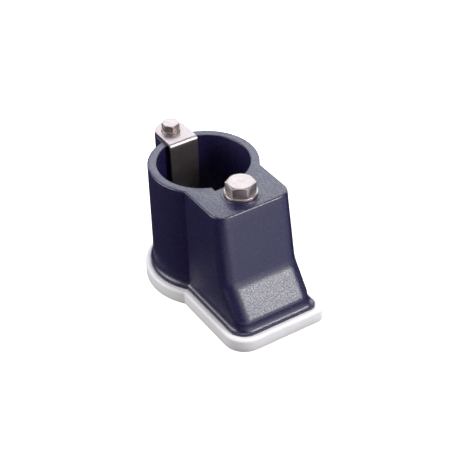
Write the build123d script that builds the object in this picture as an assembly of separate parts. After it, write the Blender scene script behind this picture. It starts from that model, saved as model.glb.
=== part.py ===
"""Stanchion base: a black moulded socket on a white base pad.

The stanchion tube stands in the round socket. A strap bolted to the rear lobe backs the tube,
and a wedge in the front block is drawn up by the large bolt and presses the tube on the strap.

Frame: origin on the socket axis at the underside of the pad, +Z up, +X towards the front block.
All sizes are in millimetres.
"""

from build123d import *
import math
import os

# Heights above the deck
pad_thickness = 9.0
rim_height = 80.3
seat_top = 26.0
floor_top = 16.0

# Socket and the tube that stands in it
socket_radius = 28.0
ring_radius = 33.5
seat_radius = 24.3
seat_centre_x = 2.4
cut_reach = 10.0

# Front block: vertical sides, leaning front, ramp down to a toe
block_half_width = 25.8
block_top_x = 56.5
block_bend_x = 64.0
block_bend_z = 35.5
toe_x = 77.4
toe_z = 17.5
bend_radius = 14.0
toe_radius = 5.0
block_corner_radius = 8.5
tight_corner_radius = 5.0

# Rear lobe that carries the strap
lobe_x = -38.0
lobe_radius = 10.0

# Foot flange, flared out of the walls by a cove
flange_reach = 2.2
flange_thickness = 2.0
cove_height = 5.0
cove_steps = 5
pad_margin = 3.1
pad_edge_radius = 2.0
rim_edge_radius = 1.0
bore_edge_chamfer = 0.6

# Hexagon heads: the flat top is a share of the width across flats, the chamfer round it slopes
head_flat_share = 0.475
head_chamfer_angle = 30.0

# Clamp bolt, M10
bolt_x = 41.0
bolt_radius = 5.0
bolt_length = 55.0
bolt_head_flats = 16.0
bolt_head_height = 6.4
bolt_head_turn = 56.0
bolt_tip_chamfer = 1.0
bolt_washer_radius = 10.0
bolt_washer_hole = 5.25
bolt_washer_thickness = 2.0
bolt_land_radius = 11.8
bolt_land_height = 0.3
bolt_land_root = 1.0
bush_radius = 7.0

# Wedge and its chamber
wedge_travel_up = 12.0
wedge_slope = 1.0 / 3.0
wedge_bottom = 26.6
wedge_height = 26.0
wedge_half_width = 10.45
wedge_face_x = 30.2
wedge_back_x = 62.1
wedge_stock = 3.0
wedge_slot_play = 0.4
chamber_bottom = 26.5
chamber_top = 66.0
chamber_half_width = 10.55
chamber_gap = 0.08
recess_half_width = 10.5
recess_x = 29.9
nut_half_width = 8.5
nut_bottom = 27.0
nut_height = 8.0
nut_play = 0.1
nut_corner_chamfer = 0.8
thread_clearance = 0.05

# Strap and its M6 bolt
strap_width = 19.0
strap_thickness = 2.0
strap_face_x = -22.0
strap_bottom = 28.0
strap_inner_bend = 0.3
strap_corner_radius = 3.0
strap_bolt_radius = 3.0
strap_bolt_length = 20.0
strap_bolt_flats = 10.0
strap_bolt_head_height = 4.0
strap_bolt_head_turn = 46.0
strap_bolt_tip_chamfer = 0.6
strap_washer_radius = 6.0
strap_washer_thickness = 1.0
strap_hole_radius = 3.3
insert_radius = 4.3
insert_length = 14.0
strap_rib_y = 5.5
strap_rib_width = 3.0
strap_rib_gap = 0.1
strap_rib_drop = 6.0
strap_rib_root = 2.0

# Coring pockets under the front block: (low x, high x, half width, top)
middle_pocket = (34.0, 58.0, 10.5, 22.5)
toe_pocket = (62.0, 71.5, 10.0, 20.0)
side_pocket = (35.0, 51.5, 3.25, 72.3)
side_pocket_y = 17.75

# Deck fixings and the screws that hold the pad
deck_hole_radius = 3.3
deck_circle_radius = 15.0
deck_head_radius = 6.2
plate_radius = 22.0
plate_recess_radius = 22.1
plate_thickness = 3.0
pad_screw_radius = 2.1
pad_screw_head_radius = 4.0
pad_screw_head_depth = 2.4
pad_screw_length = 15.0
pad_screw_sink = 0.4
pad_screw_slot_half = 2.4
pad_screw_slot_width = 1.0
pad_screw_slot_depth = 1.6
pad_screw_places = [(lobe_x, 0.0), (-8.0, 29.2), (-8.0, -29.2), (68.0, 17.0), (68.0, -17.0)]


def outline(grow):
    """Plan shape of the body walls, moved outwards by grow. The flange's +Y toe corner is tighter."""
    front = toe_x + grow
    block = Pos(front / 2) * Rectangle(front, 2 * (block_half_width + grow))
    flared = min(grow / flange_reach, 1.0)
    tight = block_corner_radius + (tight_corner_radius - block_corner_radius) * flared
    toe_corners = block.vertices().group_by(Axis.X)[-1].sort_by(Axis.Y)
    block = fillet(toe_corners[0], block_corner_radius + grow)
    toe_corners = block.vertices().group_by(Axis.Y)[-1].sort_by(Axis.X)
    block = fillet(toe_corners[-1], tight)
    neck = Pos(lobe_x / 2) * Rectangle(abs(lobe_x), 2 * (lobe_radius + grow))
    lobe = Pos(lobe_x) * Circle(lobe_radius + grow)
    return Circle(ring_radius + grow) + block + neck + lobe


def upright(radius, bottom, top, x=0.0, y=0.0):
    """A vertical cylinder between two heights."""
    return Pos(x, y, bottom) * extrude(Circle(radius), top - bottom)


def block_between(low_x, high_x, half_width, bottom, top):
    """A box between two X planes and two heights, symmetric about Y = 0."""
    size_x = high_x - low_x
    face = Pos((low_x + high_x) / 2, 0, bottom) * Rectangle(size_x, 2 * half_width)
    return extrude(face, top - bottom)


def side_prism(points, half_width):
    """A prism across the width, from a closed outline of (x, z) points."""
    face = make_face(Plane.XZ * Polyline(*points, close=True))
    return extrude(face, half_width, both=True)


def front_block():
    """The leaning front block with its ramp and rounded front corners."""
    bottom = pad_thickness
    points = [(0, bottom), (0, rim_height), (block_top_x, rim_height), (block_bend_x, block_bend_z)]
    points += [(toe_x, toe_z), (toe_x, bottom)]
    block = side_prism(points, block_half_width)
    across = block.edges().filter_by(Axis.Y)
    bend = [e for e in across if abs(e.center().Z - block_bend_z) < 0.1]
    block = fillet(bend, bend_radius)
    across = block.edges().filter_by(Axis.Y)
    toe = [e for e in across if abs(e.center().Z - toe_z) < 0.1]
    block = fillet(toe, toe_radius)
    corners = []
    for edge in block.edges():
        ends = edge.vertices()
        rises = abs(ends[0].Z - ends[-1].Z) > 0.5
        at_side = all(abs(abs(v.Y) - block_half_width) < 0.01 for v in ends)
        if rises and at_side and edge.center().X > block_top_x / 2:
            corners.append(edge)
    return fillet(corners, block_corner_radius)


def cove_flare():
    """The concave flare from the walls down to the thin foot flange."""
    flange_top = pad_thickness + flange_thickness
    levels = []
    for step in range(cove_steps + 1):
        turn = math.pi / 2 * step / cove_steps
        grow = flange_reach * (1 - math.cos(turn))
        height = flange_top + cove_height * (1 - math.sin(turn))
        levels.append((grow, height))
    flare = extrude(Pos(0, 0, pad_thickness) * outline(flange_reach), flange_thickness)
    for upper, lower in zip(levels, levels[1:]):
        top_face = (Pos(0, 0, upper[1]) * outline(upper[0])).face()
        bottom_face = (Pos(0, 0, lower[1]) * outline(lower[0])).face()
        flare += loft([bottom_face, top_face], ruled=True)
    return flare


def chamber_back(z):
    """X of the chamber's sloping back wall at height z."""
    return wedge_back_x + chamber_gap - wedge_slope * (z - wedge_bottom)


def wedge_chamber():
    """The space that the wedge rises in, open to the socket."""
    open_x = socket_radius - cut_reach
    points = [(open_x, chamber_bottom), (chamber_back(chamber_bottom), chamber_bottom)]
    points += [(chamber_back(chamber_top), chamber_top), (open_x, chamber_top)]
    return side_prism(points, chamber_half_width)


def deck_hole_places():
    """Centres of the four deck fixing holes."""
    places = []
    for quarter in range(4):
        turn = math.radians(45 + 90 * quarter)
        places.append((seat_centre_x + deck_circle_radius * math.cos(turn), deck_circle_radius * math.sin(turn)))
    return places


def pocket(sizes):
    """One coring pocket, from the foot up, as (low x, high x, half width, top)."""
    low_x, high_x, half_width, top = sizes
    return block_between(low_x, high_x, half_width, pad_thickness, top)


def coring_pockets():
    """Pockets that hollow the front block from below, closed by the pad."""
    cuts = pocket(middle_pocket) + pocket(toe_pocket)
    for side in (1, -1):
        cuts += Pos(0, side * side_pocket_y, 0) * pocket(side_pocket)
    return cuts


def socket_body():
    """The moulded body: socket, front block, rear lobe and foot flange."""
    walls = upright(ring_radius, pad_thickness, rim_height) + front_block()
    walls += upright(lobe_radius, pad_thickness, rim_height, lobe_x)
    walls += block_between(lobe_x, 0, lobe_radius, pad_thickness, rim_height)
    rim = walls.faces().sort_by(Axis.Z)[-1]
    walls = fillet(rim.edges(), rim_edge_radius)
    body = walls + cove_flare()
    body -= upright(socket_radius, seat_top, rim_height)
    mouth = [e for e in body.edges().filter_by(GeomType.CIRCLE) if abs(e.center().Z - rim_height) < 0.01]
    body = chamfer([e for e in mouth if abs(e.radius - socket_radius) < 0.01], bore_edge_chamfer)
    plate_top = floor_top + plate_thickness
    body -= upright(seat_radius, plate_top, seat_top, seat_centre_x)
    body -= upright(plate_recess_radius, floor_top, plate_top, seat_centre_x)
    body -= block_between(socket_radius - cut_reach, recess_x, recess_half_width, seat_top, rim_height)
    body -= wedge_chamber()
    body += upright(bolt_land_radius, rim_height - bolt_land_root, rim_height + bolt_land_height, bolt_x)
    body -= upright(bush_radius, chamber_top, rim_height + bolt_land_height, bolt_x)
    body -= upright(insert_radius, rim_height - insert_length, rim_height, lobe_x)
    body -= upright(strap_hole_radius, rim_height - strap_bolt_length, rim_height - insert_length, lobe_x)
    body -= coring_pockets()
    for x, y in deck_hole_places():
        body -= upright(deck_hole_radius, pad_thickness, floor_top, x, y)
    for x, y in pad_screw_places:
        body -= upright(pad_screw_radius, pad_thickness, pad_screw_sink + pad_screw_length, x, y)
    return body + strap_ribs()


def strap_ribs():
    """Two upright ribs on the rear socket wall that back the strap."""
    front = strap_face_x - strap_thickness - strap_rib_gap
    root = -socket_radius - strap_rib_root
    ribs = []
    for side in (1, -1):
        rib = block_between(root, front, strap_rib_width / 2, seat_top, rim_height - strap_rib_drop)
        ribs.append(Pos(0, side * strap_rib_y, 0) * rib)
    return ribs


def base_pad():
    """The white pad under the whole foot, with its deck and screw holes."""
    pad = extrude(outline(flange_reach + pad_margin), pad_thickness)
    top = pad.faces().sort_by(Axis.Z)[-1]
    pad = fillet(top.edges(), pad_edge_radius)
    for x, y in deck_hole_places():
        pad -= upright(deck_hole_radius, 0, pad_thickness, x, y)
    for x, y in pad_screw_places:
        pad -= upright(pad_screw_head_radius, 0, pad_screw_sink, x, y)
        pad -= Pos(x, y, 0) * pad_screw_shape()
    return pad


def pad_screw_shape():
    """A countersunk screw pointing up, with its head sunk above the pad's underside."""
    cone_top = pad_screw_sink + pad_screw_head_depth
    length = pad_screw_length + pad_screw_sink
    taper_start = pad_screw_length - pad_screw_sink
    profile = [(0, pad_screw_sink), (pad_screw_head_radius, pad_screw_sink), (pad_screw_radius, cone_top)]
    profile += [(pad_screw_radius, taper_start), (pad_screw_radius / 2, length), (0, length)]
    return revolve(make_face(Plane.XZ * Polyline(*profile, close=True)), Axis.Z)


def pad_screws():
    """The countersunk screws that hold the pad, entered from below."""
    slot_top = pad_screw_sink + pad_screw_slot_depth
    drive = block_between(-pad_screw_slot_half, pad_screw_slot_half, pad_screw_slot_width / 2, 0, slot_top)
    drive += Rot(0, 0, 90) * drive
    screws = []
    for x, y in pad_screw_places:
        screws.append(Pos(x, y, 0) * (pad_screw_shape() - drive))
    return Compound(children=screws)


def floor_plate():
    """The stainless disc on the socket floor under the deck fixing heads."""
    top = floor_top + plate_thickness
    plate = upright(plate_radius, floor_top, top, seat_centre_x)
    depth = deck_head_radius - deck_hole_radius
    for x, y in deck_hole_places():
        sink = Pos(x, y, top - depth / 2) * Cone(deck_hole_radius, deck_head_radius, depth)
        plate -= upright(deck_hole_radius, floor_top, top, x, y)
        plate -= sink
    return plate


def hex_bolt(radius, length, flats, head_height, tip_chamfer):
    """A hexagon head bolt with its bearing face at Z = 0 and its shank below."""
    corner = flats / math.sqrt(3)
    flat_radius = head_flat_share * flats
    drop = (corner - flat_radius) * math.tan(math.radians(head_chamfer_angle))
    head = extrude(RegularPolygon(flats / 2, 6, major_radius=False), head_height)
    points = [(0, 0), (corner, 0), (corner, head_height - drop), (flat_radius, head_height), (0, head_height)]
    head &= revolve(make_face(Plane.XZ * Polyline(*points, close=True)), Axis.Z)
    shank = upright(radius, -length, 0)
    tip = shank.edges().sort_by(Axis.Z)[0]
    return head + chamfer(tip, tip_chamfer)


def clamp_bolt():
    """The large bolt that draws the wedge up."""
    bearing = rim_height + bolt_land_height + bolt_washer_thickness
    bolt = hex_bolt(bolt_radius, bolt_length, bolt_head_flats, bolt_head_height, bolt_tip_chamfer)
    return Pos(bolt_x, 0, bearing) * Rot(0, 0, bolt_head_turn) * bolt


def clamp_washer():
    """The flat washer under the large bolt."""
    bottom = rim_height + bolt_land_height
    washer = upright(bolt_washer_radius, bottom, bottom + bolt_washer_thickness, bolt_x)
    return washer - upright(bolt_washer_hole, bottom, bottom + bolt_washer_thickness, bolt_x)


def bolt_bush():
    """The metal bush that takes the large bolt's pull through the block's top."""
    top = rim_height + bolt_land_height
    return upright(bush_radius, chamber_top, top, bolt_x) - upright(bolt_washer_hole, chamber_top, top, bolt_x)


def clamp_nut():
    """The square nut that climbs the large bolt."""
    top = nut_bottom + nut_height
    nut = block_between(bolt_x - nut_half_width, bolt_x + nut_half_width, nut_half_width, nut_bottom, top)
    nut = chamfer(nut.edges().filter_by(Axis.Z), nut_corner_chamfer)
    return nut - upright(bolt_radius + thread_clearance, nut_bottom, top, bolt_x)


def clamp_wedge():
    """The bronze wedge: hollow face for the tube, sloping back, pocket for the nut."""
    top = wedge_bottom + wedge_height
    shift = wedge_travel_up * wedge_slope
    back_top = wedge_back_x - wedge_slope * wedge_height
    front_x = wedge_face_x - wedge_stock
    points = [(front_x, wedge_bottom), (wedge_back_x, wedge_bottom), (back_top, top), (front_x, top)]
    wedge = side_prism(points, wedge_half_width)
    wedge -= upright(seat_radius, wedge_bottom, top, wedge_face_x - seat_radius)
    reach = nut_half_width + nut_play
    pocket_top = nut_bottom + nut_height + thread_clearance
    wedge -= block_between(bolt_x - reach, bolt_x + reach + shift, reach, wedge_bottom, pocket_top)
    slot_radius = bolt_radius + wedge_slot_play
    for x in (bolt_x, bolt_x + shift):
        wedge -= upright(slot_radius, pocket_top, top, x)
    wedge -= block_between(bolt_x, bolt_x + shift, slot_radius, pocket_top, top)
    return wedge


def clamp_strap():
    """The stainless strap: flat on the rim and the lobe, bent down into the socket."""
    top = rim_height + strap_thickness
    end_radius = strap_width / 2
    back_x = strap_face_x - strap_thickness
    points = [(lobe_x - end_radius, rim_height), (back_x, rim_height), (back_x, strap_bottom)]
    points += [(strap_face_x, strap_bottom), (strap_face_x, top), (lobe_x - end_radius, top)]
    strap = side_prism(points, end_radius)
    across = strap.edges().filter_by(Axis.Y)
    inner = [e for e in across if abs(e.center().X - back_x) < 0.01 and abs(e.center().Z - rim_height) < 0.01]
    strap = fillet(inner, strap_inner_bend)
    across = strap.edges().filter_by(Axis.Y)
    outer = [e for e in across if abs(e.center().X - strap_face_x) < 0.01 and abs(e.center().Z - top) < 0.01]
    strap = fillet(outer, strap_inner_bend + strap_thickness)
    ends = [e for e in strap.edges().filter_by(Axis.X) if abs(e.center().Z - strap_bottom) < 0.01]
    strap = fillet(ends, strap_corner_radius)
    plan = Pos(lobe_x) * Circle(end_radius) + Pos(lobe_x / 2) * Rectangle(abs(lobe_x), strap_width)
    strap &= extrude(plan, top)
    return strap - upright(strap_hole_radius, rim_height, top, lobe_x)


def strap_washer():
    """The washer under the strap bolt."""
    bottom = rim_height + strap_thickness
    top = bottom + strap_washer_thickness
    return upright(strap_washer_radius, bottom, top, lobe_x) - upright(strap_hole_radius, bottom, top, lobe_x)


def strap_bolt():
    """The small bolt that holds the strap on the lobe."""
    bearing = rim_height + strap_thickness + strap_washer_thickness
    head = (strap_bolt_flats, strap_bolt_head_height)
    bolt = hex_bolt(strap_bolt_radius, strap_bolt_length, *head, strap_bolt_tip_chamfer)
    return Pos(lobe_x, 0, bearing) * Rot(0, 0, strap_bolt_head_turn) * bolt


def strap_insert():
    """The threaded brass insert moulded in the lobe."""
    bottom = rim_height - insert_length
    hole = upright(strap_bolt_radius + thread_clearance, bottom, rim_height, lobe_x)
    return upright(insert_radius, bottom, rim_height, lobe_x) - hole


makers = [socket_body, base_pad, pad_screws, floor_plate, clamp_bolt, clamp_washer, bolt_bush]
makers += [clamp_nut, clamp_wedge, clamp_strap, strap_washer, strap_bolt, strap_insert]

os.makedirs("parts", exist_ok=True)
for maker in makers:
    export_step(maker(), f"parts/{maker.__name__}.step")
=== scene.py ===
"""Looks for the stanchion base: a black moulded socket on a white pad, with stainless clamp fittings.

Every length in the dataclasses is in millimetres, in the part's own frame: the origin lies on the socket's
axis at the underside of the pad, +Z is up and +X points towards the front block. Meshes are in metres.
"""

import logging
import math
from collections.abc import Callable
from dataclasses import dataclass
from enum import Enum

import bmesh
import bpy
from mathutils import Matrix, Vector


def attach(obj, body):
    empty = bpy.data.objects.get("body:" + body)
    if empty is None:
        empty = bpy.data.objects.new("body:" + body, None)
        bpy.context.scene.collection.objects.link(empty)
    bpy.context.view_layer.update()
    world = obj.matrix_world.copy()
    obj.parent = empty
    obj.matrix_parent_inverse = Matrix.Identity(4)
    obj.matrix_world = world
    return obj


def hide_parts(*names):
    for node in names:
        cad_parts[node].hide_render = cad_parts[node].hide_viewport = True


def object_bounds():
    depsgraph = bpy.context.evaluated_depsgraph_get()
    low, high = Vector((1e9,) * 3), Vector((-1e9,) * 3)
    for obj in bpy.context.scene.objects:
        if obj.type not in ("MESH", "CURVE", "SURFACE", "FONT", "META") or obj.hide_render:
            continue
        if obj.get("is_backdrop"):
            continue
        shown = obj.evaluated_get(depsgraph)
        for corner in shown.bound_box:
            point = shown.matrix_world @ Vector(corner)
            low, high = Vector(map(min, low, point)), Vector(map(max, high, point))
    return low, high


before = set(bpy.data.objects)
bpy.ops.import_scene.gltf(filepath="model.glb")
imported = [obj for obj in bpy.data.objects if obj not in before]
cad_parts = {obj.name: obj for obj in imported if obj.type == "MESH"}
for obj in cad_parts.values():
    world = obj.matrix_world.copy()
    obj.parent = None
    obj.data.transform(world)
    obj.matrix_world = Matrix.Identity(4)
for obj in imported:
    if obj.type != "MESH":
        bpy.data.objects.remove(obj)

log = logging.getLogger("stanchion_base")
MM = 0.001
# How far a cutter runs past the face that it breaks through, in millimetres.
PAST = 1.0
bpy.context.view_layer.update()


class Slot(Enum):
    """The record's material slots."""

    MOULDING = "black_moulding"
    PAD = "white_pad"
    FIXINGS = "stainless_fixings"
    STRAP = "stainless_strap"
    PLATE = "stainless_plate"
    BRONZE = "bronze"
    BRASS = "brass"


# ---------------------------------------------------------------- mesh tools


def metres(*lengths: float) -> Vector:
    """A point or size given in millimetres, in metres."""
    return Vector(lengths) * MM


def deselect() -> None:
    """Leaves nothing selected, so that the next operator acts on one piece only."""
    if bpy.context.object and bpy.context.object.mode != "OBJECT":
        bpy.ops.object.mode_set(mode="OBJECT")
    bpy.ops.object.select_all(action="DESELECT")


def focus(piece: bpy.types.Object) -> None:
    """Makes one piece the only selected and active object."""
    deselect()
    piece.select_set(True)
    bpy.context.view_layer.objects.active = piece


def named(name: str) -> bpy.types.Object:
    """Names the object that was just added.

    Args:
        name: the piece's name.

    Returns:
        The active object, with its place put into its mesh.
    """
    piece = bpy.context.object
    piece.name = name
    piece.data.name = name
    bpy.ops.object.transform_apply(location=True, rotation=True, scale=True)
    return piece


def pick(piece: bpy.types.Object, kind: str, test: Callable[[Vector], bool]) -> int:
    """Selects vertices or faces of a piece in edit mode by their place, in millimetres.

    Args:
        piece: the piece in edit mode.
        kind: "VERT" or "FACE".
        test: takes the place of the vertex or of the face's middle.

    Returns:
        How many were selected.
    """
    bpy.ops.mesh.select_mode(type=kind)
    bpy.ops.mesh.select_all(action="DESELECT")
    work = bmesh.from_edit_mesh(piece.data)
    found = 0
    for element in work.verts if kind == "VERT" else work.faces:
        place = element.co if kind == "VERT" else element.calc_center_median()
        if test(place / MM):
            element.select_set(True)
            found += 1
    work.select_flush_mode()
    bmesh.update_edit_mesh(piece.data)
    return found


def modify(piece: bpy.types.Object, kind: str, **settings: object) -> None:
    """Adds a modifier to a piece and applies it.

    Args:
        piece: the piece to change.
        kind: the modifier's type.
        settings: the modifier's own settings.
    """
    focus(piece)
    modifier = piece.modifiers.new(kind.lower(), kind)
    for key, value in settings.items():
        setattr(modifier, key, value)
    bpy.ops.object.modifier_apply(modifier=modifier.name)


def combine(piece: bpy.types.Object, tool: bpy.types.Object, operation: str) -> None:
    """Joins a tool body to a piece or cuts it away, then removes the tool.

    Args:
        piece: the piece to change.
        tool: the closed body that is added, cut away or kept in common.
        operation: "UNION", "DIFFERENCE" or "INTERSECT".
    """
    modify(piece, "BOOLEAN", operation=operation, solver="EXACT", object=tool)
    bpy.data.objects.remove(tool)


def soften(piece: bpy.types.Object, width: float, segments: int = 3, angle: float = 40.0) -> None:
    """Rounds every edge of a piece that is sharper than an angle.

    Args:
        piece: the piece to change.
        width: the width of the rounding, in millimetres.
        segments: how many strips make the rounding.
        angle: the angle from which an edge counts as sharp, in degrees.
    """
    modify(
        piece, "BEVEL", width=width * MM, segments=segments, limit_method="ANGLE",
        angle_limit=math.radians(angle), harden_normals=False,
    )


def smooth(piece: bpy.types.Object, angle: float = 30.0) -> None:
    """Shades a piece smooth except over edges sharper than an angle."""
    focus(piece)
    bpy.ops.object.shade_smooth_by_angle(angle=math.radians(angle))


def tidy_faces(piece: bpy.types.Object) -> None:
    """Merges doubles and turns every face outwards."""
    focus(piece)
    bpy.ops.object.mode_set(mode="EDIT")
    bpy.ops.mesh.select_all(action="SELECT")
    bpy.ops.mesh.remove_doubles(threshold=0.00001)
    bpy.ops.mesh.normals_make_consistent(inside=False)
    bpy.ops.object.mode_set(mode="OBJECT")


Point = tuple[float, float, float]
Ring = list[Point]


def through_levels(name: str, rings: list[Ring]) -> bpy.types.Object:
    """A closed body whose outline changes from level to level, as in a mould.

    Args:
        name: the piece's name.
        rings: one closed ring of points for each level, all with the same count, from the bottom up.

    Returns:
        The body, closed by flat faces at both ends.
    """
    deselect()
    bpy.ops.mesh.primitive_circle_add(vertices=len(rings[0]), radius=0.05, fill_type="NGON")
    piece = named(name)
    bpy.ops.object.mode_set(mode="EDIT")
    place_ring(piece, rings[0])
    bpy.ops.mesh.select_all(action="SELECT")
    for ring in rings[1:]:
        bpy.ops.mesh.extrude_region_move(TRANSFORM_OT_translate={"value": (0, 0, MM)})
        place_ring(piece, ring)
    bpy.ops.object.mode_set(mode="OBJECT")
    piece.data.attributes.remove(piece.data.attributes["place"])
    tidy_faces(piece)
    return piece


def place_ring(piece: bpy.types.Object, ring: Ring) -> None:
    """Moves the selected ring of vertices in edit mode to its level's outline.

    Every vertex carries its place in the ring, which extruding copies, because extruding promises no order.
    """
    work = bmesh.from_edit_mesh(piece.data)
    place = work.verts.layers.int.get("place")
    if place is None:
        place = work.verts.layers.int.new("place")
        for index, vertex in enumerate(work.verts):
            vertex[place] = index
    loop = sorted((vertex for vertex in work.verts if vertex.select), key=lambda vertex: vertex[place])
    for vertex, point in zip(loop, ring, strict=True):
        vertex.co = metres(*point)
    bmesh.update_edit_mesh(piece.data)


def upright(
    name: str, radius: float, bottom: float, top: float, x: float = 0.0, y: float = 0.0, sides: int = 96,
) -> bpy.types.Object:
    """A round bar that stands between two heights, as a tool body or a blank."""
    deselect()
    bpy.ops.mesh.primitive_cylinder_add(
        vertices=sides, radius=radius * MM, depth=(top - bottom) * MM,
        location=metres(x, y, (bottom + top) / 2),
    )
    return named(name)


def drill(
    piece: bpy.types.Object, radius: float, bottom: float, top: float, x: float = 0.0, y: float = 0.0,
    sides: int = 96,
) -> None:
    """Takes an upright round hole out of a piece, between two heights."""
    combine(piece, upright("drill", radius, bottom, top, x, y, sides), "DIFFERENCE")


def brick(name: str, low: tuple[float, float, float], high: tuple[float, float, float]) -> bpy.types.Object:
    """A rectangular tool body between two corners."""
    deselect()
    middle = [(a + b) / 2 for a, b in zip(low, high)]
    bpy.ops.mesh.primitive_cube_add(size=1.0, location=metres(*middle))
    bpy.context.object.scale = metres(*[b - a for a, b in zip(low, high)])
    return named(name)


def turned(name: str, profile: list[tuple[float, float]], x: float, y: float, sides: int) -> bpy.types.Object:
    """A lathe-turned body from (radius, height) points, bottom first, closed on its axis.

    Args:
        name: the piece's name.
        profile: (radius, height) points in millimetres.
        x: where the axis stands.
        y: where the axis stands.
        sides: steps round the axis.

    Returns:
        The closed body.
    """
    rings = []
    for radius, height in profile:
        turns = [2 * math.pi * step / sides for step in range(sides)]
        rings.append([(x + radius * math.cos(t), y + radius * math.sin(t), height) for t in turns])
    return through_levels(name, rings)


def arc(
    centre: tuple[float, float], radius: float, start: float, end: float, steps: int,
) -> list[tuple[float, float]]:
    """Points along an arc, ends included, with angles in degrees."""
    turns = [math.radians(start + (end - start) * step / steps) for step in range(steps + 1)]
    return [(centre[0] + radius * math.cos(t), centre[1] + radius * math.sin(t)) for t in turns]


def between(start: tuple[float, float], end: tuple[float, float], steps: int) -> list[tuple[float, float]]:
    """Points inside a straight run, ends left out."""
    shares = [step / steps for step in range(1, steps)]
    return [(start[0] + (end[0] - start[0]) * s, start[1] + (end[1] - start[1]) * s) for s in shares]


# ---------------------------------------------------------------- finishes


def linear(colour: str) -> tuple[float, float, float, float]:
    """An sRGB hex colour as the linear colour that a shader takes."""
    parts = [int(colour[i : i + 2], 16) / 255 for i in (1, 3, 5)]
    return (*[c / 12.92 if c <= 0.04045 else ((c + 0.055) / 1.055) ** 2.4 for c in parts], 1.0)


def per_metre(millimetres: float) -> float:
    """The pattern scale whose features have this size."""
    return 1.0 / (millimetres * MM)


def add_node(tree: bpy.types.NodeTree, kind: str, settings: dict[str, object] | None = None,
             links: dict[str, bpy.types.NodeSocket] | None = None) -> bpy.types.Node:
    """Adds a shader node.

    Args:
        tree: the material's node tree.
        kind: the node's type.
        settings: values for the node's own properties or for its input sockets.
        links: sockets that feed its inputs, by input name.

    Returns:
        The new node.
    """
    node = tree.nodes.new(kind)
    for key, value in (settings or {}).items():
        if hasattr(node, key):
            setattr(node, key, value)
        else:
            node.inputs[key].default_value = value
    for key, socket in (links or {}).items():
        tree.links.new(socket, node.inputs[key])
    return node


@dataclass(frozen=True)
class Finish:
    """A surface: two close shades mottled together, a roughness that varies, and a fine relief."""

    name: str
    light: str
    dark: str
    metallic: float
    roughness: tuple[float, float]
    mottle_mm: float
    grain_mm: tuple[float, float, float]
    relief_mm: float
    detail: float = 3.0
    specular: float = 0.5

    def material(self) -> bpy.types.Material:
        """Builds the material once and returns it."""
        known = bpy.data.materials.get(self.name)
        if known:
            return known
        made = bpy.data.materials.new(self.name)
        made.use_nodes = True
        tree = made.node_tree
        shader = tree.nodes["Principled BSDF"]
        shader.inputs["Metallic"].default_value = self.metallic
        shader.inputs["Specular IOR Level"].default_value = self.specular
        place = add_node(tree, "ShaderNodeTexCoord").outputs["Object"]
        self.colour(tree, shader, place)
        self.surface(tree, shader, place)
        return made

    def colour(self, tree: bpy.types.NodeTree, shader: bpy.types.Node, place: bpy.types.NodeSocket) -> None:
        """Mottles the two shades together."""
        size = {"Scale": per_metre(self.mottle_mm), "Detail": 4.0}
        cloud = add_node(tree, "ShaderNodeTexNoise", size, {"Vector": place})
        ramp = add_node(tree, "ShaderNodeValToRGB", None, {"Fac": cloud.outputs["Fac"]})
        ramp.color_ramp.elements[0].position = 0.35
        ramp.color_ramp.elements[0].color = linear(self.dark)
        ramp.color_ramp.elements[1].position = 0.65
        ramp.color_ramp.elements[1].color = linear(self.light)
        tree.links.new(ramp.outputs["Color"], shader.inputs["Base Color"])

    def surface(self, tree: bpy.types.NodeTree, shader: bpy.types.Node, place: bpy.types.NodeSocket) -> None:
        """Gives the relief and the roughness that goes with it."""
        sizes = Vector([per_metre(size) for size in self.grain_mm])
        spread = add_node(tree, "ShaderNodeMapping", {"Scale": sizes}, {"Vector": place})
        fineness = {"Scale": 1.0, "Detail": self.detail}
        grain = add_node(tree, "ShaderNodeTexNoise", fineness, {"Vector": spread.outputs["Vector"]})
        rough = add_node(
            tree, "ShaderNodeMapRange",
            {"From Min": 0.3, "From Max": 0.7, "To Min": self.roughness[0], "To Max": self.roughness[1]},
            {"Value": grain.outputs["Fac"]},
        )
        bump = add_node(
            tree, "ShaderNodeBump", {"Strength": 1.0, "Distance": self.relief_mm * MM},
            {"Height": grain.outputs["Fac"]},
        )
        tree.links.new(rough.outputs["Result"], shader.inputs["Roughness"])
        tree.links.new(bump.outputs["Normal"], shader.inputs["Normal"])


# Glass-filled nylon, injection moulded in a sparked tool: nearly black with a blue-violet cast, a fine grain
# that breaks the gloss into specks. The grain is drawn at 0.8 mm, coarser than the real 0.2 mm, to show.
MOULDED_NYLON = Finish(
    name="glass_filled_nylon_moulded",
    light="#1f1846",
    dark="#140e36",
    metallic=0.0,
    roughness=(0.24, 0.46),
    mottle_mm=1.1,
    grain_mm=(0.8, 0.8, 0.8),
    relief_mm=0.10,
    specular=1.0,
)
# Polyethylene, moulded smooth: a soft cold white whose skin is faintly uneven.
MOULDED_POLYETHYLENE = Finish(
    name="white_polyethylene_moulded",
    light="#fbf8fa",
    dark="#f5f2f6",
    metallic=0.0,
    roughness=(0.45, 0.55),
    mottle_mm=14.0,
    grain_mm=(2.5, 2.5, 2.5),
    relief_mm=0.02,
)
# Stainless steel, cold forged and tumbled: bright, slightly warm, with a soft satin skin.
FORGED_STAINLESS = Finish(
    name="stainless_forged_tumbled",
    light="#bfb4b1",
    dark="#b2a8a6",
    metallic=1.0,
    roughness=(0.36, 0.46),
    mottle_mm=3.0,
    grain_mm=(0.5, 0.5, 0.5),
    relief_mm=0.012,
)
# Stainless strip, rolled and brushed along its length: the lines run along X on the plate and down the arm.
BRUSHED_STRIP = Finish(
    name="stainless_strip_brushed",
    light="#b9aeae",
    dark="#aea4a6",
    metallic=1.0,
    roughness=(0.36, 0.44),
    mottle_mm=6.0,
    grain_mm=(14.0, 0.35, 14.0),
    relief_mm=0.006,
)
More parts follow.
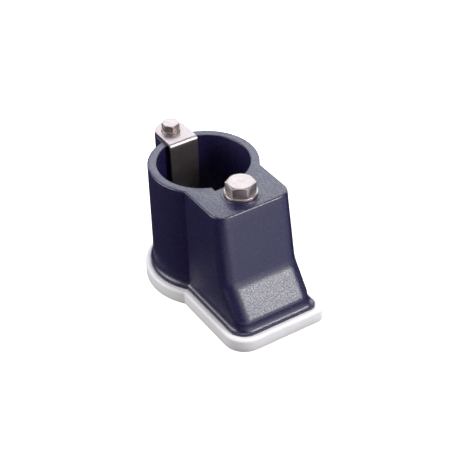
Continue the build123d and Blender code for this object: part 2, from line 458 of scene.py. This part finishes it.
# Stainless disc, punched and left dull.
PUNCHED_DISC = Finish(
    name="stainless_disc_punched",
    light="#b9b6b2",
    dark="#a5a29f",
    metallic=1.0,
    roughness=(0.36, 0.48),
    mottle_mm=5.0,
    grain_mm=(0.6, 0.6, 0.6),
    relief_mm=0.015,
)
# Aluminium bronze, sand cast and machined on its faces: brown gold with a dry skin.
CAST_BRONZE = Finish(
    name="aluminium_bronze_cast",
    light="#b08a52",
    dark="#8f6b3b",
    metallic=1.0,
    roughness=(0.38, 0.55),
    mottle_mm=4.0,
    grain_mm=(0.8, 0.8, 0.8),
    relief_mm=0.05,
)
# Brass, turned from bar: yellow, with fine rings.
TURNED_BRASS = Finish(
    name="brass_turned",
    light="#d9b36a",
    dark="#c7a05a",
    metallic=1.0,
    roughness=(0.22, 0.34),
    mottle_mm=4.0,
    grain_mm=(6.0, 6.0, 0.25),
    relief_mm=0.010,
)


def dress(piece: bpy.types.Object, finish: Finish) -> None:
    """Gives a whole piece one finish."""
    piece.data.materials.clear()
    piece.data.materials.append(finish.material())


def install(piece: bpy.types.Object, finish: Finish, body: str, node: str) -> None:
    """Dresses a new piece and lets it stand for its CAD node.

    Args:
        piece: the finished piece.
        finish: its surface.
        body: the CAD body it moves with.
        node: the CAD node it stands for.
    """
    dress(piece, finish)
    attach(piece, body)
    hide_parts(node)
    log.info("%s: %d faces", piece.name, len(piece.data.polygons))


# ---------------------------------------------------------------- the body

# Where the pad's countersunk screws stand.
PAD_SCREWS = [(-38.0, 0.0), (-8.0, 29.2), (-8.0, -29.2), (68.0, 17.0), (68.0, -17.0)]


@dataclass(frozen=True)
class Plan:
    """The plan outline that the body's walls, its foot flange and the pad share."""

    ring_radius: float = 33.5
    half_width: float = 25.8
    corner: float = 8.5
    tight_corner: float = 5.0
    lobe_x: float = -38.0
    lobe_radius: float = 10.0
    flange_reach: float = 2.2

    def corners(self, grow: float) -> tuple[float, float]:
        """The radii of the -Y and +Y front corners where the outline stands grow outside the walls."""
        flared = min(max(grow / self.flange_reach, 0.0), 1.0)
        tight = self.corner + min(grow, 0.0) + (self.tight_corner - self.corner) * flared
        return self.corner + grow, tight

    def ring(self, front: float, grow: float, height: float, shrink: float = 0.0) -> Ring:
        """One level's outline.

        Args:
            front: X of the front face at this level, before it grows.
            grow: how far the outline stands outside the walls.
            height: the level's height.
            shrink: how far the grown outline, corners included, is drawn in again.

        Returns:
            The closed ring of points, from the -Y front corner round by +Y.
        """
        near, far = [max(radius - shrink, 0.5) for radius in self.corners(grow)]
        grow -= shrink
        front += grow
        radius, wide, lobe = self.ring_radius + grow, self.half_width + grow, self.lobe_radius + grow
        join_x = math.sqrt(radius**2 - wide**2)
        join = math.degrees(math.atan2(wide, join_x))
        neck_x = -math.sqrt(radius**2 - lobe**2)
        neck = math.degrees(math.atan2(lobe, neck_x))
        points = between((front, near - wide), (front, wide - far), 16)
        points += arc((front - far, wide - far), far, 0, 90, 14)
        points += between((front - far, wide), (join_x, wide), 12)
        points += arc((0, 0), radius, join, neck, 60)
        points += between((neck_x, lobe), (self.lobe_x, lobe), 4)
        points += arc((self.lobe_x, 0), lobe, 90, 270, 40)
        points += between((self.lobe_x, -lobe), (neck_x, -lobe), 4)
        points += arc((0, 0), radius, 360 - neck, 360 - join, 60)
        points += between((join_x, -wide), (front - near, -wide), 12)
        points += arc((front - near, near - wide), near, 270, 360, 14)
        return [(x, y, height) for x, y in points]


@dataclass(frozen=True)
class FrontProfile:
    """The block's front edge seen from the side: toe, ramp and leaning face."""

    toe_x: float = 77.4
    toe_z: float = 17.5
    bend_x: float = 64.0
    bend_z: float = 35.5
    top_x: float = 56.5
    top_z: float = 80.3
    toe_radius: float = 5.0
    bend_radius: float = 14.0

    def points(self, steps: int = 12) -> list[tuple[float, float]]:
        """(x, z) points from the foot to the rim, with both bends rounded."""
        corners = [Vector((self.toe_x, 0)), Vector((self.toe_x, self.toe_z))]
        corners += [Vector((self.bend_x, self.bend_z)), Vector((self.top_x, self.top_z))]
        line = [corners[0]]
        radii = (self.toe_radius, self.bend_radius)
        for before, corner, after, radius in zip(corners, corners[1:], corners[2:], radii):
            back, on = (before - corner).normalized(), (after - corner).normalized()
            half = back.angle(on) / 2
            centre = corner + (back + on).normalized() * radius / math.sin(half)
            start = corner + back * radius / math.tan(half) - centre
            end = corner + on * radius / math.tan(half) - centre
            line += [centre + start.slerp(end, step / steps) * radius for step in range(steps + 1)]
        line.append(corners[-1])
        return [(point.x, point.y) for point in line]

    def x_at(self, z: float) -> float:
        """X of the front edge at a height."""
        line = self.points()
        for (x0, z0), (x1, z1) in zip(line, line[1:]):
            if z0 <= z <= z1:
                return x0 + (x1 - x0) * (z - z0) / (z1 - z0)
        return line[-1][0]


@dataclass(frozen=True)
class SocketBody:
    """The moulded body: socket ring, front block, rear lobe, ribs and foot flange."""

    plan: Plan
    front: FrontProfile
    foot: float = 9.0
    flange_top: float = 11.0
    flange_rounding: float = 0.1
    cove_height: float = 5.0
    rim: float = 80.3
    rim_rounding: float = 1.0
    bore_radius: float = 28.0
    seat_radius: float = 24.3
    seat_x: float = 2.4
    seat_top: float = 26.0
    plate_top: float = 19.0
    floor_top: float = 16.0
    plate_recess: float = 22.1
    mouth: float = 0.6
    recess_half: float = 10.5
    recess_x: float = 29.9
    chamber_half: float = 10.55
    chamber_bottom: float = 26.5
    chamber_top: float = 66.0
    chamber_mouth: float = 18.0
    chamber_back: float = 62.18
    slope: float = 1 / 3
    land_radius: float = 11.8
    land_height: float = 0.3
    land_root: float = 0.4
    land_ease: float = 0.12
    bolt_x: float = 41.0
    bush_radius: float = 7.0
    insert_radius: float = 4.3
    insert_length: float = 14.0
    tip_depth: float = 6.0
    screw_hole: float = 3.3
    rib_y: float = 5.5
    rib_half: float = 1.5
    rib_back: float = -30.0
    rib_front: float = -24.1
    rib_root: float = 0.5
    rib_rounding: float = 0.4
    rib_top: float = 74.3
    screw_bite: float = 2.1
    screw_top: float = 15.4
    pockets: tuple[tuple[Point, Point], ...] = (
        ((34.0, -10.5, 8.0), (58.0, 10.5, 22.5)),
        ((62.0, -10.0, 8.0), (71.5, 10.0, 20.0)),
        ((35.0, 14.5, 8.0), (51.5, 21.0, 72.3)),
        ((35.0, -21.0, 8.0), (51.5, -14.5, 72.3)),
    )

    def build(self) -> bpy.types.Object:
        """Models the body and cuts its openings.

        Returns:
            The finished body.
        """
        body = through_levels("moulded_body", self.levels())
        self.cut_socket(body)
        self.add_land(body)
        self.add_ribs(body)
        for x, y in deck_holes(self.seat_x):
            drill(body, self.screw_hole, self.foot - PAST, self.floor_top + PAST, x, y, 48)
        self.cut_foot(body)
        smooth(body, 32)
        return body

    def levels(self) -> list[Ring]:
        """The outline of every level from the flange to the rim."""
        reach = self.plan.flange_reach
        toe = self.front.toe_x
        rings = [self.plan.ring(toe, reach, self.foot, 0.2), self.plan.ring(toe, reach, self.foot + 0.2)]
        for share in (0.0, 0.3, 0.7, 1.0):
            turn = math.pi / 2 * share
            edge = self.flange_rounding * (1 - math.cos(turn))
            height = self.flange_top - self.flange_rounding * (1 - math.sin(turn))
            rings.append(self.plan.ring(toe, reach, height, edge))
        for step in range(9, -1, -1):
            turn = math.pi / 2 * step / 10
            height = self.flange_top + self.cove_height * (1 - math.sin(turn))
            rings.append(self.plan.ring(self.front.x_at(height), reach * (1 - math.cos(turn)), height))
        wall_top = self.rim - self.rim_rounding
        heights = sorted({round(z, 3) for _, z in self.front.points() if 16.1 < z < wall_top - 1})
        heights += [z for z in range(44, int(wall_top), 5)]
        rings += [self.plan.ring(self.front.x_at(z), 0.0, z) for z in [*sorted(heights), wall_top]]
        for step in range(1, 7):
            turn = math.pi / 2 * step / 6
            height = wall_top + self.rim_rounding * math.sin(turn)
            drawn = self.rim_rounding * (1 - math.cos(turn))
            rings.append(self.plan.ring(self.front.x_at(height), 0.0, height, drawn))
        return rings

    def socket_ring(self, grow: float, height: float) -> Ring:
        """One level of the socket's opening with the flat recess beside the clamp bolt."""
        radius, half, front = self.bore_radius + grow, self.recess_half + grow, self.recess_x + grow
        start = math.degrees(math.asin(half / radius))
        points = arc((0, 0), radius, start, 360 - start, 140)
        points += between(points[-1], (front, -half), 3) + [(front, -half)]
        points += between((front, -half), (front, half), 12) + [(front, half)]
        points += between((front, half), points[0], 3)
        return [(x, y, height) for x, y in points]

    def cut_socket(self, body: bpy.types.Object) -> None:
        """Cuts the bore, the seat for the tube, the plate's recess, the wedge chamber and the bolt holes."""
        shaped = [(0.0, self.seat_top), (0.0, self.rim - self.mouth)]
        for turn in (math.radians(30), math.radians(60), math.radians(90)):
            height = self.rim - self.mouth + self.mouth * math.sin(turn)
            shaped.append((self.mouth * (1 - math.cos(turn)), height))
        shaped.append((self.mouth, self.rim + 3 * PAST))
        combine(body, through_levels("bore", [self.socket_ring(g, z) for g, z in shaped]), "DIFFERENCE")
        seat = [(self.plate_recess, self.floor_top), (self.plate_recess, self.plate_top)]
        seat += [(self.seat_radius, self.plate_top), (self.seat_radius, self.seat_top + PAST)]
        combine(body, turned("seat", seat, self.seat_x, 0, 128), "DIFFERENCE")
        combine(body, self.chamber(), "DIFFERENCE")
        drill(body, self.bush_radius, self.chamber_top - PAST, self.rim + PAST, self.bolt_x)
        insert = self.rim - self.insert_length
        lobe_x = self.plan.lobe_x
        drill(body, self.insert_radius, insert, self.rim + PAST, lobe_x, 0, 64)
        drill(body, self.screw_hole, insert - self.tip_depth, insert + PAST, lobe_x, 0, 48)

    def cut_foot(self, body: bpy.types.Object) -> None:
        """Cores the front block from below and cuts the holes that the pad's screws bite in."""
        for pocket in self.pockets:
            combine(body, brick("pocket", *pocket), "DIFFERENCE")
        for x, y in PAD_SCREWS:
            drill(body, self.screw_bite, self.foot - PAST, self.screw_top, x, y, 32)

    def chamber(self) -> bpy.types.Object:
        """The space that the wedge rises in, with its sloping back."""
        low_back = self.chamber_back
        high_back = low_back - self.slope * (self.chamber_top - self.chamber_bottom)
        low = (self.chamber_mouth, -self.chamber_half, self.chamber_bottom)
        box = brick("chamber", low, (low_back, self.chamber_half, self.chamber_top))
        focus(box)
        bpy.ops.object.mode_set(mode="EDIT")
        pick(box, "VERT", lambda p: p.x > low_back - PAST and p.z > self.chamber_top - PAST)
        bpy.ops.transform.translate(value=metres(high_back - low_back, 0, 0))
        bpy.ops.object.mode_set(mode="OBJECT")
        return box

    def add_land(self, body: bpy.types.Object) -> None:
        """Adds the low round land under the clamp bolt's washer, with its hole."""
        top = self.rim + self.land_height
        profile = [(self.land_radius, self.rim - self.land_root), (self.land_radius, top - self.land_ease)]
        profile.append((self.land_radius - self.land_ease, top))
        land = turned("land", profile, self.bolt_x, 0, 96)
        drill(land, self.bush_radius, self.rim - PAST, top + PAST, self.bolt_x)
        combine(body, land, "UNION")

    def add_ribs(self, body: bpy.types.Object) -> None:
        """Adds the two upright ribs that back the strap's arm."""
        for side in (1, -1):
            y = side * self.rib_y
            low = (self.rib_back, y - self.rib_half, self.seat_top - self.rib_root)
            rib = brick("rib", low, (self.rib_front, y + self.rib_half, self.rib_top))
            soften(rib, self.rib_rounding, 2)
            combine(body, rib, "UNION")


def deck_holes(centre_x: float, radius: float = 15.0) -> list[tuple[float, float]]:
    """Centres of the four deck fixing holes on their circle."""
    turns = [math.radians(45 + 90 * quarter) for quarter in range(4)]
    return [(centre_x + radius * math.cos(t), radius * math.sin(t)) for t in turns]


@dataclass(frozen=True)
class BasePad:
    """The white pad under the foot, with a soft upper edge and its holes."""

    plan: Plan
    toe_x: float = 77.4
    margin: float = 5.3
    thickness: float = 9.0
    edge: float = 2.0
    deck_hole: float = 3.3
    screw_hole: float = 2.1
    screw_head: float = 4.0
    screw_sink: float = 0.4
    screw_head_top: float = 2.8

    def build(self, screw_places: list[tuple[float, float]]) -> bpy.types.Object:
        """Models the pad.

        Args:
            screw_places: where the countersunk screws go in from below.

        Returns:
            The finished pad.
        """
        lower_edge = ((0, 0.4), (0.12, 0.12), (0.4, 0))
        rings = [self.plan.ring(self.toe_x, self.margin, z, shrink) for z, shrink in lower_edge]
        rings += [self.plan.ring(self.toe_x, self.margin, z) for z in (3.0, self.thickness - self.edge)]
        for step in range(1, 9):
            turn = math.pi / 2 * step / 8
            height = self.thickness - self.edge * (1 - math.sin(turn))
            rings.append(self.plan.ring(self.toe_x, self.margin, height, self.edge * (1 - math.cos(turn))))
        pad = through_levels("polyethylene_pad", rings)
        for x, y in deck_holes(2.4):
            drill(pad, self.deck_hole, -PAST, self.thickness + PAST, x, y, 48)
        for x, y in screw_places:
            profile = [(self.screw_head, -PAST), (self.screw_head, self.screw_sink)]
            profile += [(self.screw_hole, self.screw_head_top), (self.screw_hole, self.thickness + PAST)]
            combine(pad, turned("screw_hole", profile, x, y, 48), "DIFFERENCE")
        smooth(pad, 32)
        return pad


# ---------------------------------------------------------------- metal fittings


@dataclass(frozen=True)
class HexBolt:
    """A hexagon head bolt with a rolled thread, standing head up."""

    name: str
    node: str
    body: str
    x: float
    bearing: float
    radius: float
    length: float
    flats: float
    head: float
    turn: float
    pitch: float
    threaded: float
    flat_share: float = 0.475
    ease: float = 0.12
    thread_depth: float = 0.61
    thread_half: float = 0.44
    thread_crest: float = 0.07

    def build(self) -> bpy.types.Object:
        """Models the tip, the shank and the head in one body, and adds the thread.

        Returns:
            The finished bolt.
        """
        shank_end = self.bearing - self.length
        root = self.radius - self.thread_depth * self.pitch
        thread_top = shank_end + self.threaded
        rings = [self.circle(root - 0.6, shank_end), self.circle(root, shank_end + 0.6)]
        rings += [self.circle(root, thread_top - 0.4), self.circle(self.radius, thread_top + 0.3)]
        rings += [self.circle(self.radius, self.bearing), *self.head_rings()]
        bolt = through_levels(self.name, rings)
        thread = self.thread(root, shank_end + self.pitch * 0.7, thread_top - 0.6)
        focus(bolt)
        thread.select_set(True)
        bpy.ops.object.join()
        smooth(bolt, 35)
        return bolt

    def around(self, steps: int = 10) -> list[tuple[float, float]]:
        """(turn, hexagon's distance from the axis) all the way round, with every corner on a point."""
        points = []
        for step in range(6 * steps):
            off = math.radians(60 * (step % steps) / steps - 30)
            points.append((math.radians(self.turn + 60 * step / steps), self.flats / 2 / math.cos(off)))
        return points

    def circle(self, radius: float, z: float) -> Ring:
        """A round level of the bolt, with as many points as the hexagon."""
        return [(self.x + radius * math.cos(turn), radius * math.sin(turn), z) for turn, _ in self.around()]

    def hexagon(self, drawn: float, height: float | None = None, lower: float = 0.0) -> Ring:
        """A hexagonal level of the head.

        Args:
            drawn: how far it is drawn in from the flats.
            height: its height; without one it lies on the chamfer round the top.
            lower: how far it is let down from there.

        Returns:
            The level's ring of points.
        """
        ring = []
        for turn, full in self.around():
            reach = min(full, self.flats / math.sqrt(3) - self.ease) - drawn
            fall = (reach - self.flat_share * self.flats) * math.tan(math.radians(30))
            z = (self.bearing + self.head - fall if height is None else height) - lower
            ring.append((self.x + reach * math.cos(turn), reach * math.sin(turn), z))
        return ring

    def head_rings(self) -> list[Ring]:
        """The head's levels, with every edge eased: bearing face, flats, chamfer and flat top."""
        top, flat, ease = self.bearing + self.head, self.flat_share * self.flats, self.ease
        rings = [self.hexagon(ease, self.bearing), self.hexagon(0.0, self.bearing + ease)]
        rings += [self.hexagon(0.0, None, ease), self.hexagon(0.7 * ease)]
        rings += [self.circle(flat + 0.6 * ease, top - 0.35 * ease), self.circle(flat - ease, top)]
        return [*rings, self.circle(flat - 4 * ease, top)]

    def thread(self, root: float, bottom: float, top: float) -> bpy.types.Object:
        """A helical thread ridge, swept up the shank and closed at both ends."""
        deselect()
        bpy.ops.mesh.primitive_plane_add(size=MM, rotation=(math.pi / 2, 0, 0))
        ridge = named("thread")
        half, crest = self.thread_half * self.pitch, self.thread_crest * self.pitch
        corners = [(root - 0.15, -half), (self.radius, -crest), (self.radius, crest), (root - 0.15, half)]
        focus(ridge)
        bpy.ops.object.mode_set(mode="EDIT")
        work = bmesh.from_edit_mesh(ridge.data)
        face = next(iter(work.faces))
        for loop, (x, z) in zip(face.loops, corners):
            loop.vert.co = metres(x, 0, bottom + z)
        bmesh.update_edit_mesh(ridge.data)
        bpy.ops.mesh.select_all(action="SELECT")
        bpy.ops.mesh.delete(type="ONLY_FACE")
        bpy.ops.object.mode_set(mode="OBJECT")
        turns = int((top - bottom) / self.pitch)
        modify(
            ridge, "SCREW", angle=2 * math.pi, screw_offset=self.pitch * MM, iterations=turns, steps=40,
            render_steps=40, axis="Z", use_normal_calculate=True,
        )
        focus(ridge)
        bpy.ops.object.mode_set(mode="EDIT")
        bpy.ops.mesh.select_all(action="DESELECT")
        bpy.ops.mesh.select_mode(type="EDGE")
        bpy.ops.mesh.select_non_manifold()
        bpy.ops.mesh.fill_holes(sides=4)
        bpy.ops.mesh.select_all(action="SELECT")
        bpy.ops.mesh.fill_holes(sides=4)
        bpy.ops.mesh.normals_make_consistent(inside=False)
        bpy.ops.mesh.select_all(action="SELECT")
        bpy.ops.transform.translate(value=metres(self.x, 0, 0))
        bpy.ops.object.mode_set(mode="OBJECT")
        return ridge


@dataclass(frozen=True)
class Washer:
    """A flat washer with rolled edges."""

    name: str
    node: str
    body: str
    x: float
    bottom: float
    thickness: float
    radius: float
    hole: float
    edge: float

    def build(self) -> bpy.types.Object:
        """Models the washer."""
        washer = upright(self.name, self.radius, self.bottom, self.bottom + self.thickness, self.x, 0, 128)
        drill(washer, self.hole, self.bottom - PAST, self.bottom + self.thickness + PAST, self.x)
        soften(washer, self.edge, 4)
        smooth(washer, 35)
        return washer


@dataclass(frozen=True)
class Strap:
    """The strap: a strip with a round end, bent down into the socket and punched for its bolt."""

    end_x: float = -47.5
    face_x: float = -22.0
    top: float = 82.3
    bottom: float = 28.0
    half_width: float = 9.5
    thickness: float = 2.0
    bend: float = 2.3
    corner: float = 3.0
    hole_x: float = -38.0
    hole_radius: float = 3.3
    edge: float = 0.3

    def path(self, run: float) -> tuple[float, float]:
        """(x, z) on the strap's outer face, at a distance along it from the round end."""
        flat = self.face_x - self.bend - self.end_x
        around = self.bend * math.pi / 2
        if run <= flat:
            return self.end_x + run, self.top
        if run <= flat + around:
            turn = (run - flat) / self.bend
            x = self.face_x - self.bend + self.bend * math.sin(turn)
            return x, self.top - self.bend + self.bend * math.cos(turn)
        return self.face_x, self.top - self.bend - (run - flat - around)

    def length(self) -> float:
        """The strap's length along its outer face."""
        around = self.bend * math.pi / 2
        return self.face_x - self.bend - self.end_x + around + self.top - self.bend - self.bottom

    def rows(self) -> list[tuple[float, float]]:
        """(distance along the strap, half width there) for every row of the blank."""
        total, flat = self.length(), self.face_x - self.bend - self.end_x
        rows = []
        for step in range(25):
            turn = math.pi / 2 * step / 24
            rows.append((self.half_width * (1 - math.cos(turn)), self.half_width * math.sin(turn)))
        rows += [(flat + self.bend * math.pi / 2 * step / 10, self.half_width) for step in range(11)]
        rows += [(flat + self.bend * math.pi / 2 + step * 4.0, self.half_width) for step in range(1, 12)]
        for step in range(9):
            turn = math.pi / 2 * step / 8
            run = total - self.corner * (1 - math.sin(turn))
            rows.append((run, self.half_width - self.corner * (1 - math.cos(turn))))
        return rows

    def build(self) -> bpy.types.Object:
        """Models the strap from its flat blank.

        Returns:
            The finished strap.
        """
        rows, across = self.rows(), 12
        deselect()
        bpy.ops.mesh.primitive_grid_add(x_subdivisions=len(rows) - 1, y_subdivisions=across, size=0.1)
        strap = named("brushed_strap")
        bpy.ops.object.mode_set(mode="EDIT")
        work = bmesh.from_edit_mesh(strap.data)
        for vertex in work.verts:
            row = round((vertex.co.x / 0.1 + 0.5) * (len(rows) - 1))
            run, half = rows[row]
            x, z = self.path(run)
            vertex.co = metres(x, vertex.co.y / 0.05 * half, z)
        bmesh.update_edit_mesh(strap.data)
        bpy.ops.mesh.select_all(action="SELECT")
        bpy.ops.mesh.remove_doubles(threshold=0.000001)
        bpy.ops.object.mode_set(mode="OBJECT")
        modify(strap, "SOLIDIFY", thickness=self.thickness * MM, offset=-1.0, use_even_offset=True)
        tidy_faces(strap)
        low = self.top - self.thickness - 2 * PAST
        drill(strap, self.hole_radius, low, self.top + PAST, self.hole_x, 0, 64)
        soften(strap, self.edge, 3, 50)
        smooth(strap, 35)
        return strap


@dataclass(frozen=True)
class FloorPlate:
    """The stainless disc under the heads of the deck fixings, countersunk at each hole."""

    x: float = 2.4
    bottom: float = 16.0
    top: float = 19.0
    radius: float = 22.0
    hole: float = 3.3
    head: float = 6.2

    def build(self) -> bpy.types.Object:
        """Models the disc."""
        plate = upright("floor_disc", self.radius, self.bottom, self.top, self.x, 0, 128)
        soften(plate, 0.25, 3)
        for x, y in deck_holes(self.x):
            sink = [(self.hole, self.bottom - PAST), (self.hole, self.top - (self.head - self.hole))]
            sink += [(self.head, self.top), (self.head, self.top + PAST)]
            combine(plate, turned("sink", sink, x, y, 64), "DIFFERENCE")
        smooth(plate, 30)
        return plate


# ---------------------------------------------------------------- studio


@dataclass(frozen=True)
class Softbox:
    """A square soft light that faces the object."""

    name: str
    towards: tuple[float, float, float]
    distance: float
    size: float
    power: float
    colour: str = "#ffffff"

    def build(self, target: Vector) -> bpy.types.Object:
        """Hangs the light.

        Args:
            target: the point that it faces.

        Returns:
            The light.
        """
        light = bpy.data.lights.new(self.name, "AREA")
        light.shape = "SQUARE"
        light.size = self.size
        light.energy = self.power
        light.color = linear(self.colour)[:3]
        lamp = bpy.data.objects.new(self.name, light)
        bpy.context.scene.collection.objects.link(lamp)
        away = Vector(self.towards).normalized()
        lamp.location = target + away * self.distance
        lamp.rotation_euler = away.to_track_quat("Z", "Y").to_euler()
        return lamp


@dataclass(frozen=True)
class Studio:
    """The pale floor, the soft lights and the camera."""

    lights: tuple[Softbox, ...]
    eye: tuple[float, float, float] = (578.44, -337.27, 532.27)
    azimuth: float = -31.739
    elevation: float = 37.205
    roll: float = -1.703
    lens: float = 103.94
    card_place: tuple[float, float, float] = (310.0, 120.0, 1.0)
    card_size: tuple[float, float] = (420.0, 480.0)
    card_power: float = 0.45
    card_colour: str = "#dfe4ff"
    world: str = "#d8dae0"
    world_strength: float = 0.04

    def build(self) -> None:
        """Sets the whole studio up."""
        low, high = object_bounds()
        target = (low + high) / 2
        for light in self.lights:
            light.build(target)
        self.floor(low.z)
        self.card()
        self.sky()
        self.camera()
        bpy.context.scene.view_settings.view_transform = "Standard"

    def floor(self, height: float) -> None:
        """Lays the pale floor just under the pad."""
        deselect()
        bpy.ops.mesh.primitive_plane_add(size=14.0, location=(0, 0, height - 0.0002))
        floor = named("floor")
        floor.data.materials.append(self.paper())
        floor.visible_glossy = False
        floor.visible_diffuse = False
        floor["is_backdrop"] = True

    def card(self) -> None:
        """Lays a glowing card in front of the object, which lifts its leaning face from below."""
        light = bpy.data.lights.new("card", "AREA")
        light.shape = "RECTANGLE"
        light.size, light.size_y = (side * MM for side in self.card_size)
        light.energy = self.card_power
        light.color = linear(self.card_colour)[:3]
        lamp = bpy.data.objects.new("card", light)
        bpy.context.scene.collection.objects.link(lamp)
        lamp.location = metres(*self.card_place)
        lamp.rotation_euler.x = math.pi
        lamp.visible_camera = False

    def paper(self) -> bpy.types.Material:
        """White background paper, lit evenly, with hardly a shadow on it."""
        made = bpy.data.materials.new("background_paper")
        made.use_nodes = True
        tree = made.node_tree
        shader = tree.nodes["Principled BSDF"]
        shader.inputs["Base Color"].default_value = linear("#f4f4f4")
        shader.inputs["Roughness"].default_value = 0.9
        shader.inputs["Specular IOR Level"].default_value = 0.0
        shader.inputs["Emission Color"].default_value = linear("#ffffff")
        shader.inputs["Emission Strength"].default_value = 0.75
        return made

    def sky(self) -> None:
        """A dim even surrounding that fills the shadows."""
        world = bpy.data.worlds.new("surroundings")
        world.use_nodes = True
        shade = world.node_tree.nodes["Background"]
        shade.inputs["Color"].default_value = linear(self.world)
        shade.inputs["Strength"].default_value = self.world_strength
        bpy.context.scene.world = world

    def camera(self) -> None:
        """Places the camera at the viewing angle."""
        turn, lift, lean = (math.radians(angle) for angle in (self.azimuth, self.elevation, self.roll))
        back = Vector((math.cos(turn) * math.cos(lift), math.sin(turn) * math.cos(lift), math.sin(lift)))
        right = (-back).cross(Vector((0, 0, 1))).normalized()
        above = right.cross(-back)
        across = right * math.cos(lean) + above * math.sin(lean)
        upwards = above * math.cos(lean) - right * math.sin(lean)
        data = bpy.data.cameras.new("camera")
        data.lens = self.lens
        data.sensor_width = 36.0
        data.clip_start = 0.01
        data.clip_end = 50.0
        eye = bpy.data.objects.new("camera", data)
        bpy.context.scene.collection.objects.link(eye)
        place = Matrix((across, upwards, back)).transposed().to_4x4()
        place.translation = metres(*self.eye)
        eye.matrix_world = place
        bpy.context.scene.camera = eye


KEPT_NODES = {
    "pad_screws": FORGED_STAINLESS,
    "bolt_bush": FORGED_STAINLESS,
    "clamp_nut": FORGED_STAINLESS,
    "clamp_wedge": CAST_BRONZE,
    "strap_insert": TURNED_BRASS,
}

LIGHTS = (
    Softbox("back_box", (-0.677, 0.419, 0.605), 1.2, 0.6, 3.9, "#f4f8ff"),
    Softbox("ramp_box", (0.773, 0.419, 0.474), 1.2, 0.45, 6.5),
    Softbox("left_box", (-0.4, -0.85, 0.35), 1.2, 0.9, 12.0),
    Softbox("front_box", (0.95, 0.1, 0.12), 1.2, 0.9, 3.6),
    Softbox("far_box", (-0.35, 0.9, 0.3), 1.2, 0.9, 6.0),
    Softbox("top_box", (0.0, 0.0, 1.0), 1.2, 0.5, 3.5),
    Softbox("edge_box", (0.58, 0.42, 0.65), 1.2, 0.25, 4.0),
    Softbox("rear_box", (-0.93, 0.0, 0.35), 1.2, 0.3, 1.6, "#f4f8ff"),
)


def main() -> None:
    """Builds the pieces in order, then the studio."""
    logging.basicConfig(level=logging.INFO, format="%(message)s")
    plan = Plan()
    install(SocketBody(plan, FrontProfile()).build(), MOULDED_NYLON, "base", "socket_body")
    install(BasePad(plan).build(PAD_SCREWS), MOULDED_POLYETHYLENE, "base", "base_pad")
    install(FloorPlate().build(), PUNCHED_DISC, "base", "floor_plate")
    install(Strap().build(), BRUSHED_STRIP, "strap", "clamp_strap")
    bolts = [
        HexBolt(
            "clamp_hex_bolt", "clamp_bolt", "clamp_screw", x=41.0, bearing=82.6, radius=5.0, length=55.0,
            flats=16.0, head=6.4, turn=56.0, pitch=1.5, threaded=48.0,
        ),
        HexBolt(
            "strap_hex_bolt", "strap_bolt", "strap_screw", x=-38.0, bearing=83.3, radius=3.0, length=20.0,
            flats=10.0, head=4.0, turn=46.0, pitch=1.0, threaded=18.0,
        ),
    ]
    for bolt in bolts:
        install(bolt.build(), FORGED_STAINLESS, bolt.body, bolt.node)
    washers = [
        Washer("clamp_flat_washer", "clamp_washer", "base", 41.0, 80.6, 2.0, 10.0, 5.25, 0.45),
        Washer("strap_flat_washer", "strap_washer", "strap", -38.0, 82.3, 1.0, 6.0, 3.3, 0.2),
    ]
    for washer in washers:
        install(washer.build(), FORGED_STAINLESS, washer.body, washer.node)
    for node, finish in KEPT_NODES.items():
        dress(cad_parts[node], finish)
        log.info("%s keeps its CAD shape", node)
    Studio(LIGHTS).build()


if __name__ == "__main__":
    main()
